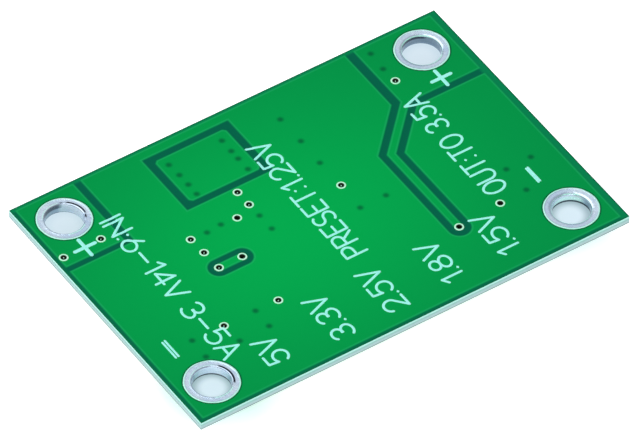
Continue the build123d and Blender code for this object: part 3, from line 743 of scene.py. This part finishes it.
# radius, height, share of the wander, painted shade, painted rim highlight; from the outer foot over the face
# and down the bore
terminal = {
    "segments": 180,
    "pitch": 0.035,
    "wander": 0.006,
    "lump": 0.018,
    "lumpWaves": ((7, 1, 0.5), (11, 2.3, 0.3), (19, 1, 0.2)),  # count round the ring, shift, share
    "lumpAt": (2.3, 2.5),
    "lumpAbove": 4.5,
    "rim": [
        (2.5, 4.88, 0, 0.6, 0.6), (2.512, 4.92, 0.2, 1, 1), (2.495, 4.946, 0.6, 1, 1),
        (2.45, 4.96, 1, 1, 1), (2.405, 4.962, 1, 1, 0.9), (2.365, 4.96, 1, 1, 0),
        (2.32, 4.953, 1, 1, 0), (2.2, 4.947, 1, 1, 0),
    ],
    "sharpLip": [
        (2.08, 4.947, 1, 1, 0), (1.98, 4.953, 1, 1, 0), (1.91, 4.96, 1, 1, 0),
        (1.86, 4.956, 0.8, 1, 0), (1.82, 4.942, 0.5, 0.9, 0), (1.78, 4.915, 0.2, 0.8, 0),
        (1.756, 4.87, 0, 0.7, 0),
    ],
    "roundLip": [
        (2.1, 4.944, 1, 1, 0), (2.02, 4.94, 1, 1, 0), (1.95, 4.931, 0.8, 1, 0),
        (1.89, 4.914, 0.5, 0.95, 0), (1.84, 4.888, 0.3, 0.9, 0), (1.795, 4.85, 0.1, 0.8, 0),
        (1.762, 4.8, 0, 0.7, 0),
    ],
    # the bore painted darker downward, as painted shade in the hole
    "bore": [
        (1.749, 4.74, 0, 0.62, 0), (1.748, 4.45, 0, 0.6, 0), (1.748, 4.06, 0, 0.55, 0),
        (1.756, 3.97, 0, 0.5, 0), (1.79, 3.935, 0.3, 0.7, 0), (1.86, 3.92, 0.5, 1, 0),
        (2.05, 3.93, 0.5, 1, 0), (2.25, 3.952, 0.5, 1, 0), (2.42, 3.975, 0.5, 1, 0),
        (2.485, 4, 0.3, 1, 0.4), (2.5, 4.04, 0, 1, 0.4),
    ],
    "back": [(1.805, 4.045, 0, 1, 0), (1.805, 4.87, 0, 1, 0)],  # inside the board
    "lips": {"input": "sharpLip", "output": "roundLip"},
    # where each kind of mark may lie, how soft its ends are in degrees,
    # and the soft sides of its band as shares of half the width
    "lipAbove": 4.8,
    "wallWithin": 1.85,
    "softEnd": {"lip": 4, "wall": 14},
    "softSide": (0.6, 1.4),
    # tone, place, middle and half width of the band, first and last degree, strength; the tones are painted
    # shade and painted glints
    "marks": {
        "input_positive_terminal": [
            ("paintedShade", "lip", 1.985, 0.085, -10, 52, 1), ("paintedShade", "lip", 1.9, 0.085, -27, -15, 1),
            ("paintedShade", "lip", 1.93, 0.06, 62, 70, 0.9), ("paintedGlint", "lip", 1.93, 0.03, 74, 150, 0.9),
            ("paintedGlint", "lip", 1.89, 0.045, -112, -52, 0.9), ("paintedShade", "wall", 4.7, 0.22, 66, 140, 0.75),
            ("paintedShade", "wall", 4.5, 0.4, 0, 66, 0.25), ("paintedShade", "wall", 3.98, 0.06, 20, 120, 0.5),
        ],
        "input_negative_terminal": [
            ("paintedShade", "lip", 1.945, 0.095, -36, 40, 1), ("paintedGlint", "lip", 1.93, 0.03, 50, 160, 0.8),
            ("paintedGlint", "lip", 1.89, 0.045, -115, -52, 0.9), ("paintedShade", "wall", 4.02, 0.11, -60, 165, 0.95),
        ],
        "output_positive_terminal": [
            ("paintedGlint", "wall", 4.86, 0.035, 26, 130, 1), ("paintedGlint", "lip", 1.84, 0.05, -110, -50, 0.9),
            ("paintedShade", "wall", 4.7, 0.15, 42, 138, 0.85), ("paintedShade", "wall", 4.5, 0.4, -25, 150, 0.3),
        ],
        "output_negative_terminal": [
            ("paintedGlint", "lip", 1.82, 0.04, 58, 80, 0.9), ("paintedGlint", "lip", 1.81, 0.04, 33, 50, 0.9),
            ("paintedShade", "wall", 4.78, 0.04, 36, 46, 0.6), ("paintedShade", "wall", 4.86, 0.04, 86, 94, 0.6),
            ("paintedShade", "wall", 4.8, 0.05, -28, -18, 0.6), ("paintedGlint", "wall", 4.4, 0.2, 20, 130, 0.35),
            ("paintedGlint", "lip", 1.86, 0.04, -100, -60, 0.4), ("paintedShade", "wall", 4.02, 0.17, -55, 168, 0.97),
        ],
    },
}


# a profile with rows added so that none are further apart than the pitch
def densify(profile, pitch):
    profile = np.asarray(profile, float)
    run = np.concatenate([[0], np.cumsum(np.hypot(*np.diff(profile[:, :2], axis=0).T))])
    at = np.unique(np.concatenate([run, np.linspace(0, run[-1], int(run[-1] / pitch) + 1)]))
    return np.stack([np.interp(at, run, column) for column in profile.T], -1)


# strength of one tone's marks: each falls off across its band and past its first and last degree
def markStrength(profile, degrees, marks, tone):
    radius, height = profile[:, 0], profile[:, 1]
    spots = {"lip": (radius, height > terminal["lipAbove"]),
             "wall": (height, radius < terminal["wallWithin"])}
    inner, outer = terminal["softSide"]
    best = np.zeros((len(profile), len(degrees)))
    for kind, spot, middle, half, first, last, strength in marks:
        if kind != tone:
            continue
        value, inside = spots[spot]
        soft = terminal["softEnd"][spot]
        across = dip(np.abs(value - middle), 1, half * inner, half * outer) * inside
        off = np.abs((degrees - (first + last) / 2 + 180) % 360 - 180)
        along = dip(off, 1, (last - first) / 2 - soft, (last - first) / 2 + soft)
        best = np.maximum(best, strength * across[:, None] * along[None])
    return best


# a turned terminal whose tin stands a little uneven round its outer edge
def terminalPieces():
    turn = np.arange(terminal["segments"]) * 2 * np.pi / terminal["segments"]
    outward = np.stack([np.cos(turn), np.sin(turn)], -1)
    for k, (node, (x, y)) in enumerate(terminals.items()):
        lip = terminal[terminal["lips"][node.split("_")[0]]]
        profile = densify(terminal["rim"] + lip + terminal["bore"], terminal["pitch"])
        profile = np.concatenate([profile, terminal["back"]])
        centre = (x + board["artShift"], y)
        points, quads = lathe(profile[:, :3], terminal["segments"], centre, terminal["wander"], k, True)
        lump = sum(np.sin(count * turn + shift * k) * share for count, shift, share in terminal["lumpWaves"])
        outer = smoothStep(profile[:, 0], *terminal["lumpAt"]) * (profile[:, 1] > terminal["lumpAbove"])
        points[..., :2] += terminal["lump"] * (outer[:, None] * lump)[..., None] * outward
        piece = addMesh(node.replace("_", "") + "Ring", points, quads)
        paintedShade, paintedGlint = (markStrength(profile, np.degrees(turn), terminal["marks"][node], tone)
                        for tone in ("paintedShade", "paintedGlint"))
        # painted shade down the bores and in dark crescents, patches and foot lines; painted highlights on
        # the rims and in glints on the lips and walls
        addAttribute(piece, "shade", profile[:, 3:4] * (1 - paintedShade))
        addAttribute(piece, "paintedHighlight", np.maximum(profile[:, 4:5], paintedGlint))
        place(piece, tin, "tin", node)


terminalPieces()
print("stage: terminals made")

# tinned rings round the open vias, a dark lining a little way down each hole as painted shade, and a bright
# bead of the via tin's finish in most of them as a painted glint of the plated wall
viaRing = {
    "segments": 36,
    "wander": 0.002,
    "profile": [(0.44, 4.912, 0), (0.43, 4.935, 0.3), (0.405, 4.949, 1), (0.365, 4.954, 1),
                (0.325, 4.952, 1), (0.282, 4.944, 0.5)],
    "bore": [(0.287, 4.946, 0.5), (0.272, 4.945, 0), (0.242, 4.943, 0), (0.213, 4.936, 0),
             (0.208, 4.88, 0), (0.205, 4.5, 0), (0.205, 4.1, 0), (0.218, 4.045, 0)],
    # painted glint: a small bright bead in the hole standing in for the light caught by the plated wall
    "glintBead": [(0.055, -0.785, 0), (0.055, -0.02, 0), (0.048, 0.012, 0), (0.03, 0.026, 0), (0, 0.032, 0)],
    "glintSpots": [0, 1, 2, 4, 6, 7, 9, 10, 11, 12, 13],
    "glintAt": (0.035, 0.045, 4.83),
}


# the same turned profile at every spot, moved by the last three values
def repeatLathe(name, profile, spots, material, slot, shift=(0, 0, 0)):
    raised = np.asarray(profile) + (0, shift[2], 0)
    shells = []
    for k, (x, y) in enumerate(spots):
        centre = (x + shift[0] + board["artShift"], y + shift[1])
        points, quads = lathe(raised, viaRing["segments"], centre, viaRing["wander"], k)
        shells.append((points.reshape(-1, 3), quads))
    return place(weld(joinMesh(name, shells)), material, slot)


repeatLathe("viaRings", viaRing["profile"], openVias, finish["viaTin"], "tin")
repeatLathe("viaHoleShades", viaRing["bore"], openVias, finish["viaHoleShade"], "solder_mask")
glintSpots = [openVias[k] for k in viaRing["glintSpots"]]
repeatLathe("viaGlintBeads", viaRing["glintBead"], glintSpots, finish["viaTin"], "tin", viaRing["glintAt"])
print("stage: vias made")


# print: single strokes in a box one high, u along the reading direction, v upward;
# an arc runs round its centre from the start to the end in degrees
def arc(cu, cv, ru, rv, start, end, count=14):
    turn = np.radians(np.linspace(start, end, count))
    return [(cu + ru * math.cos(t), cv + rv * math.sin(t)) for t in turn]


# the strokes that letters share, then the advance and strokes of each one
stem = [(0, 0), (0, 1)]
bowl = [stem, [(0, 1), (0.34, 1)], arc(0.34, 0.75, 0.26, 0.25, 90, -90, 12), [(0.34, 0.5), (0, 0.5)]]
glyphs = {
    "0": (0.66, [arc(0.33, 0.5, 0.33, 0.5, 90, 450, 28)]),
    "1": (0.3, [[(0, 0.8), (0.26, 1)], [(0.26, 1), (0.26, 0)]]),
    "2": (0.66, [arc(0.33, 0.68, 0.33, 0.32, 165, -35) + [(0, 0)], [(0, 0), (0.66, 0)]]),
    "3": (0.62, [arc(0.29, 0.74, 0.29, 0.26, 150, -90), arc(0.29, 0.26, 0.33, 0.26, 90, -150)]),
    "4": (0.66, [[(0.5, 0), (0.5, 1)], [(0.5, 1), (0, 0.32)], [(0, 0.32), (0.66, 0.32)]]),
    "5": (0.64, [[(0.58, 1), (0.1, 1)], [(0.1, 1), (0.05, 0.56)], arc(0.3, 0.33, 0.34, 0.33, 130, -150, 18)]),
    "6": (0.64, [arc(0.32, 0.32, 0.32, 0.32, 0, 360, 24), [(0.02, 0.4), (0.42, 1)]]),
    "8": (0.62, [arc(0.31, 0.76, 0.25, 0.24, 0, 360, 20), arc(0.31, 0.26, 0.31, 0.26, 0, 360, 22)]),
    "V": (0.72, [[(0, 1), (0.36, 0)], [(0.36, 0), (0.72, 1)]]),
    "A": (0.72, [[(0, 0), (0.36, 1)], [(0.36, 1), (0.72, 0)], [(0.13, 0.34), (0.59, 0.34)]]),
    "I": (0.1, [[(0.05, 0), (0.05, 1)]]),
    "N": (0.66, [stem, [(0, 1), (0.66, 0)], [(0.66, 0), (0.66, 1)]]),
    "P": (0.6, bowl),
    "U": (0.66, [[(0, 1), (0, 0.33)] + arc(0.33, 0.33, 0.33, 0.33, 180, 360) + [(0.66, 1)]]),
    "T": (0.66, [[(0, 1), (0.66, 1)], [(0.33, 1), (0.33, 0)]]),
    "O": (0.74, [arc(0.37, 0.5, 0.37, 0.5, 90, 450, 28)]),
    "E": (0.56, [stem, [(0, 1), (0.56, 1)], [(0, 0.5), (0.44, 0.5)], [(0, 0), (0.56, 0)]]),
    "R": (0.62, bowl + [[(0.3, 0.5), (0.62, 0)]]),
    "S": (0.6, [arc(0.3, 0.75, 0.28, 0.25, 40, 270) + arc(0.3, 0.25, 0.3, 0.25, 90, -140)]),
    "-": (0.7, [[(0.05, 0.45), (0.65, 0.45)]]),
    ".": (0.1, [[(0.03, 0), (0.06, 0)]]),
    ":": (0.1, [[(0.03, 0.12), (0.06, 0.12)], [(0.03, 0.62), (0.06, 0.62)]]),
    " ": (0.24, []),
}
printLook = {
    "width": 0.25,
    "rise": 0.016,
    "gap": 0.17,
    "step": 0.06,
    # text, baseline x, cap height, y at the start and end of the line, and whether it reads toward -y
    "lines": [
        ("IN:6-14V 3-5A", -16.72, 2.02, 9.45, -9.95, True),
        ("5V", -11.66, 2.15, -12.8, -9.7, False),
        ("3.3V", -5.26, 2.1, -13.4, -8.05, False),
        ("2.5V", 0.44, 2.15, -13.2, -7.9, False),
        ("1.8V", 6.44, 2.05, -13, -8.05, False),
        ("1.5V", 12.49, 2.1, -12.9, -7.85, False),
        ("PRESET:1.25V", 1.02, 2.1, -5.85, 9.85, False),
        ("OUT:TO 3.5A", 15.64, 2.1, -6.35, 7.2, False),
    ],
    "plus": [(-19.41, 7.68, 1.05), (18.26, 7.75, 1)],  # middle x and y, arm
    "plusWidth": 0.37,
    # each minus is two strokes side by side, run together at the output end: x, first and last y
    "minus": [(-20.06, -5.38, -7.49), (-19.77, -5.31, -7.47), (18.19, -5.4, -7.32), (18.39, -5.36, -7.26)],
    "minusWidth": 0.215,
    "across": (-1, -0.8, 0, 0.8, 1),  # places across a stroke as shares of half its width
    "lift": (-0.25, 0.8, 1, 0.8, -0.25),
    "overrun": 0.9,
    "leastWidth": 0.04,
}


# a line's letters one after another, stretched to fill the space from its start to its end
def lineStrokes(text, baseline, cap, start, end, backwards):
    strokes = []
    cursor = 0
    for letter in text:
        advance, parts = glyphs[letter]
        strokes += [np.asarray(part, float) + (cursor, 0) for part in parts]
        cursor += advance + printLook["gap"]
    stretch = abs(end - start) / (cursor - printLook["gap"])
    way = -1 if backwards else 1
    return [np.stack([baseline - way * stroke[:, 1] * cap, start + way * stroke[:, 0] * stretch], -1)
            for stroke in strokes]


# a stroke becomes a low rounded ribbon: five points across, ends drawn in along a half circle
def ribbon(path, width):
    run = np.concatenate([[0], np.cumsum(np.hypot(*np.diff(path, axis=0).T))])
    whole = run[-1]
    half = width / 2
    close = np.linspace(0, min(width, whole) / 4, 4)
    even = np.linspace(0, whole, max(9, int(whole / printLook["step"]) + 1))
    at = np.unique(np.concatenate([even, close, whole - close]))
    x = np.interp(at, run, path[:, 0])
    y = np.interp(at, run, path[:, 1])
    tx, ty = np.gradient(x, at), np.gradient(y, at)
    size = np.hypot(tx, ty)
    tx, ty = tx / size, ty / size
    # the two ends run on by most of half a width, the middle stays
    push = half * printLook["overrun"] * (at * 2 / whole - 1) * (np.abs(at - whole / 2) * 2 / whole) ** 8
    x, y = x + tx * push, y + ty * push
    first = at < whole / 2
    fromEnd = np.hypot(x - np.where(first, x[0], x[-1]), y - np.where(first, y[0], y[-1]))
    body = np.sqrt(np.clip(1 - (1 - np.clip(fromEnd / half, 0, 1)) ** 2, printLook["leastWidth"], 1))
    across = np.array(printLook["across"]) * half * body[:, None]
    px = x[:, None] - ty[:, None] * across
    py = y[:, None] + tx[:, None] * across
    lift = np.array(printLook["lift"]) * printLook["rise"] * np.sqrt(body)[:, None]
    return np.stack([px, py, filmHeight(px, py) + lift], -1)


# all the strokes of one piece as ribbons, their faces turned upward
def printPiece(name, strokes, width):
    ribbons = [ribbon(stroke, width) for stroke in strokes]
    shells = [(points.reshape(-1, 3), gridQuads(*points.shape[:2])[:, ::-1]) for points in ribbons]
    return place(joinMesh(name, shells), finish["whitePrint"], "solder_mask")


# the lines of letters, then each plus as two strokes about its middle, and the minus bars
def printPieces():
    for k, line in enumerate(printLook["lines"]):
        printPiece(f"printLine{k}", lineStrokes(*line), printLook["width"])
    arms = [[(x - arm, y), (x + arm, y), (x, y - arm), (x, y + arm)] for x, y, arm in printLook["plus"]]
    signs = [np.array(ends) for sign in arms for ends in (sign[:2], sign[2:])]
    printPiece("printPlusSigns", signs, printLook["plusWidth"])
    bars = [np.array([(x, y0), (x, y1)]) for x, y0, y1 in printLook["minus"]]
    printPiece("printMinusSigns", bars, printLook["minusWidth"])


printPieces()
print("stage: print made")


# where steps along and across a part lie, when it stands at x and y turned by some degrees
def turnedPlace(x, y, degrees, along, across):
    c, s = math.cos(math.radians(degrees)), math.sin(math.radians(degrees))
    return x + board["artShift"] + c * along - s * across, y + s * along + c * across


# solder: a bed on the pad, then a hollow slope from the part's end out to the pad's toe
solderBed = {
    "inset": 0.1,  # taken off the pad's width
    "thick": 0.04,
    "corner": 0.01,
    "hollow": 2.2,
    "rows": 12,
    "across": (-1, -0.985, -0.95, -0.88, -0.75, -0.4, 0, 0.4, 0.75, 0.88, 0.95, 0.985, 1),
    "share": (0, 0.55, 0.82, 0.95, 1, 1, 1, 1, 1, 0.95, 0.82, 0.55, 0),
}


# height falls from the part's end to the toe as the distance left to the power of two and a bit,
# and toward both sides by the share given for each place across
def solderPiece():
    shells = []
    share = np.array(solderBed["share"])
    across = np.array(solderBed["across"]) / 2
    thick = solderBed["thick"]
    chipX, chipY = under["chip"]
    padX, padY = under["chipPad"]
    beds = [(chipX, chipY, padX, padY + solderBed["inset"], 0, padX / 2, 0)]
    for x, y, sx, sy, heading, reach, rise in solderPads() + beds:
        turned = heading % 180 == 90
        half = (sy if turned else sx) / 2
        width = (sx if turned else sy) - solderBed["inset"]
        bed = [(-half, 0), (solderBed["corner"] - half, thick), (reach, thick)]
        hill = [(reach + (half - reach) * t, (thick + rise) * (1 - t) ** solderBed["hollow"])
                for t in np.linspace(0, 1, solderBed["rows"])]
        for run in (bed, hill) if rise else (bed,):
            run = np.array(run)
            along = run[:, :1] + 0 * share
            side = width * across + 0 * along
            px, py = turnedPlace(x, y, heading, along, side)
            points = np.stack([px, py, under["copperFace"] - run[:, 1:] * share], -1)
            shells.append((points.reshape(-1, 3), gridQuads(len(run), len(share))))
    return place(weld(joinMesh("solderFillets", shells)), finish["solderLook"], "solder", "solder_joints")


# a box with soft edges: a ball's eighths pulled apart to the corners and joined by flat faces
def softBox(size, middle, radius, steps=4):
    half = np.array(size) / 2 - radius
    turn = np.radians(np.concatenate([np.linspace(0, 90, steps) + 90 * k for k in range(4)]))
    tilt = np.radians(np.concatenate([np.linspace(-90, 0, steps), np.linspace(0, 90, steps)]))[:, None]
    signX = np.repeat([1, -1, -1, 1], steps)
    signY = np.repeat([1, 1, -1, -1], steps)
    signZ = np.repeat([-1, 1], steps)[:, None]
    points = np.stack([signX * half[0] + radius * np.cos(tilt) * np.cos(turn),
                       signY * half[1] + radius * np.cos(tilt) * np.sin(turn),
                       signZ * half[2] + radius * np.sin(tilt) + 0 * turn], -1)
    count = 4 * steps
    low = np.arange(4) * steps
    caps = np.array([low[::-1], (2 * steps - 1) * count + low])
    quads = np.concatenate([gridQuads(2 * steps, count, closeColumns=True), caps])
    return points.reshape(-1, 3) + middle, quads


# the same soft boxes set down at every place of a part, hung below the seat
def softPiece(name, node, slot, boxes, radius, places, material):
    shells = []
    for x, y, turn in places:
        for size, middle in boxes:
            points, quads = softBox(size, middle, radius)
            along, across, height = points.T
            px, py = turnedPlace(x, y, turn, along, across)
            shells.append((np.stack([px, py, under["seat"] + height], -1), quads))
    return place(weld(joinMesh(name, shells)), material, slot, node)


# size over the metal ends, how far the ends reach, and how round the ceramic and the ends are
chipParts = {
    "power": {"size": (3.2, 2.5, 2), "reach": 0.5, "coreRadius": 0.12, "endRadius": 0.14},
    "small": {"size": (1.6, 0.8, 0.8), "reach": 0.3, "coreRadius": 0.06, "endRadius": 0.08},
    "resistor": {"size": (1.6, 0.8, 0.45), "reach": 0.3, "coreRadius": 0.03, "endRadius": 0.05},
    "wall": 0.03,
    "glazeRadius": 0.014,
}


# a metal box over each end, its middle half the length less half its reach away
def endPiece(name, kind, node, places):
    part = chipParts[kind]
    length, width, height = part["size"]
    reach = part["reach"]
    boxes = [((reach, width, height), (side * (length - reach) / 2, 0, -height / 2)) for side in (-1, 1)]
    softPiece(name, node, "tin", boxes, part["endRadius"], places, finish["dullTin"])


# the ceramic between the metal ends, thinner than the whole by a wall on each side
def corePiece(name, kind, node, places):
    part = chipParts[kind]
    inner = tuple(side - 2 * chipParts["wall"] for side in part["size"])
    boxes = [(inner, (0, 0, -part["size"][2] / 2))]
    softPiece(name, node, "capacitor_ceramic", boxes, part["coreRadius"], places, finish["ceramicTan"])


# three sets of capacitors, then the resistors: plate, glaze lying on it, and ends
def chipPieces():
    capacitors = [("input", "power", powerPlaces["input"]), ("output", "power", powerPlaces["output"]),
                  ("small", "small", under["smallCaps"])]
    for key, kind, places in capacitors:
        corePiece(key + "CapacitorCores", kind, key + "_capacitors", places)
        endPiece(key + "CapacitorCaps", kind, key + "_capacitor_ends", places)
    part, wall = chipParts["resistor"], chipParts["wall"]
    length, width, height = part["size"]
    between = length - 2 * part["reach"]
    plate = [((between, width, height - 2 * wall), (0, 0, -height / 2))]
    glaze = [((between, width - 4 * wall, wall), (0, 0, wall / 2 - height))]
    softPiece("resistorPlates", "resistors", "resistor_plate", plate, part["coreRadius"], resistorPlaces,
              finish["alumina"])
    softPiece("resistorGlazes", "resistor_films", "resistor_film", glaze, chipParts["glazeRadius"],
              resistorPlaces, finish["resistorGlaze"])
    endPiece("resistorCaps", "resistor", "resistor_ends", resistorPlaces)


solderPiece()
chipPieces()
print("stage: solder and small parts made")

# floor, light and camera; lengths on the paper in millimetres, lamps and camera in metres
studio = {
    "sky": 0.52,
    "paperHalf": 1500,
    "paperLevel": -0.2,
    "paper": (0.93, 0.94, 0.95),
    "paperMottle": 0.99,
    "paperGrain": (60, 900, 0.5, 0.00001),
    "paperRough": 0.9,
    "paperGloss": 0.1,
    "glow": (0.8, 0.8, 0.8),
    # painted shadow under the board: the paper's colour and glow there, brighter toward the near edge, and
    # darker again round the holes
    "shadowPaper": (0.22, 0.25, 0.28),
    "shadowGlow": (0.515, 0.6, 0.675),
    "frontShadowGlow": (0.63, 0.74, 0.84),
    "frontFade": (-8, 12),
    "under": (2.7, 3.7, 22.3, 14.9),  # middle x and y, half sides
    "shadowFade": 1.6,
    "holes": (2.2, 3.25, 18.9, 11.5),  # middle x and y, steps to the holes
    "holeShadow": (0.84, 0.9, 0.92),
    "frontHoleShadow": (0.38, 0.46, 0.47),
    "holeShadowRise": (0.75, 1.9),
    "holeShadowFade": (1.9, 7.5),
    "lights": {
        "keyBox": {"at": (-0.25, 0.3, 0.55), "size": 0.8, "power": 2.55},
        "frontBox": {"at": (-0.36, -0.5, 0.36), "size": 0.4, "power": 1.2},
        "backBox": {"at": (0.242, 0.336, 0.435), "size": 0.2, "power": 0.035},
    },
    "camera": {
        "sensor": 36,
        "lens": 704.08,
        "clip": (0.05, 20),
        "right": (0.82606468, -0.56305132, 0.02429736),
        "up": (0.39445629, 0.60843186, 0.68863263),
        "back": (-0.4025188, -0.55927085, 0.7247032),
        "at": (-0.439046, -0.610123, 0.794859),
    },
}


# steps along x and y from a spot of the paper, without their signs, so that all four corners count alike
def foldedPlace(tree, where, x, y):
    return vectorOf(tree, "ABSOLUTE", vectorOf(tree, "SUBTRACT", where, metres((x, y, 0))))


# pale paper whose glow stands for the light that reaches it: less of it where the board lies over
def paperMaterial():
    made, tree, shader = newMaterial("floorPaper")
    mask, normal = addGrain(tree, *studio["paperGrain"])
    pale = tuple(value * studio["paperMottle"] for value in studio["paper"])
    where = objectPlace(tree)
    # painted shadow: the paper glows a little less where the board lies over it
    x, y, *halves = studio["under"]
    split = addNode(tree, "ShaderNodeSeparateXYZ", {0: foldedPlace(tree, where, x, y)}).outputs
    sides = [softRange(tree, split[k], (half - studio["shadowFade"]) * mm, half * mm)
             for k, half in enumerate(halves)]
    shadowed = mathOf(tree, "MULTIPLY", *sides)
    # painted shadow: darker again round each corner hole, as seen past the hole's far wall
    x, y, stepX, stepY = studio["holes"]
    corner = vectorOf(tree, "SUBTRACT", foldedPlace(tree, where, x, y), metres((stepX, stepY, 0)))
    reach = vectorOf(tree, "LENGTH", vectorOf(tree, "MULTIPLY", corner, (1, 1, 0)))
    rise = softRange(tree, reach, *metres(studio["holeShadowRise"]), 0, 1)
    fall = softRange(tree, reach, *metres(studio["holeShadowFade"]))
    foot = mathOf(tree, "MULTIPLY", rise, fall)
    # more light comes in under the near long edge than under the far one
    placeY = addNode(tree, "ShaderNodeSeparateXYZ", {0: where}).outputs[1]
    front = softRange(tree, placeY, *metres(studio["frontFade"]))
    tones = (studio["shadowGlow"], studio["frontShadowGlow"])
    holeShadows = (studio["holeShadow"], studio["frontHoleShadow"])
    dim = [tuple(a * b for a, b in zip(tone, share)) for tone, share in zip(tones, holeShadows)]
    glow = colourMix(tree, shadowed, studio["glow"], colourMix(tree, front, *tones))
    paper = colourMix(tree, mask, pale, studio["paper"])
    feed(tree, shader, {
        "Base Color": colourMix(tree, shadowed, paper, studio["shadowPaper"]),
        "Emission Color": colourMix(tree, foot, glow, colourMix(tree, front, *dim)),
        "Emission Strength": 1,
        "Roughness": studio["paperRough"],
        "Specular IOR Level": studio["paperGloss"],
    })
    return made


# one square of paper, the same way out from the part's middle on all sides
def floorPiece():
    half, level = studio["paperHalf"], studio["paperLevel"]
    corners = [(-half, -half, level), (half, -half, level), (half, half, level), (-half, half, level)]
    piece = addMesh("floor", corners, [(0, 1, 2, 3)], False)
    piece.data.materials.append(paperMaterial())


# stands a lamp at its place and turns it to face the board
def faceBoard(piece, at):
    aim = -np.array(at, float)
    aim = aim / np.linalg.norm(aim)
    side = np.cross(aim, (0, 0, 1))
    side = side / np.linalg.norm(side)
    up = np.cross(side, aim)
    rows = [(side[k], up[k], -aim[k], at[k]) for k in range(3)]
    piece.matrix_world = Matrix(rows + [(0, 0, 0, 1)])


# three square lamps
def addLights():
    for name, box in studio["lights"].items():
        light = bpy.data.lights.new(name, "AREA")
        light.shape = "SQUARE"
        light.size = box["size"]
        light.energy = box["power"]
        faceBoard(addObject(name, light), box["at"])


# a long lens stood so that the columns of its matrix are right, up, back and place
def addCamera():
    look = studio["camera"]
    camera = bpy.data.cameras.new("camera")
    camera.sensor_width = look["sensor"]
    camera.lens = look["lens"]
    camera.clip_start, camera.clip_end = look["clip"]
    piece = addObject("camera", camera)
    rows = zip(look["right"], look["up"], look["back"], look["at"])
    piece.matrix_world = Matrix([*rows, (0, 0, 0, 1)])
    bpy.context.scene.camera = piece


# an even white sky
def addWorld():
    world = bpy.data.worlds.new("studioSky")
    world.use_nodes = True
    sky = world.node_tree.nodes["Background"]
    sky.inputs["Color"].default_value = (1, 1, 1, 1)
    sky.inputs["Strength"].default_value = studio["sky"]
    bpy.context.scene.world = world


floorPiece()
addLights()
addCamera()
addWorld()
bpy.context.scene.view_settings.view_transform = "Standard"
print("stage: floor, light and camera ready")
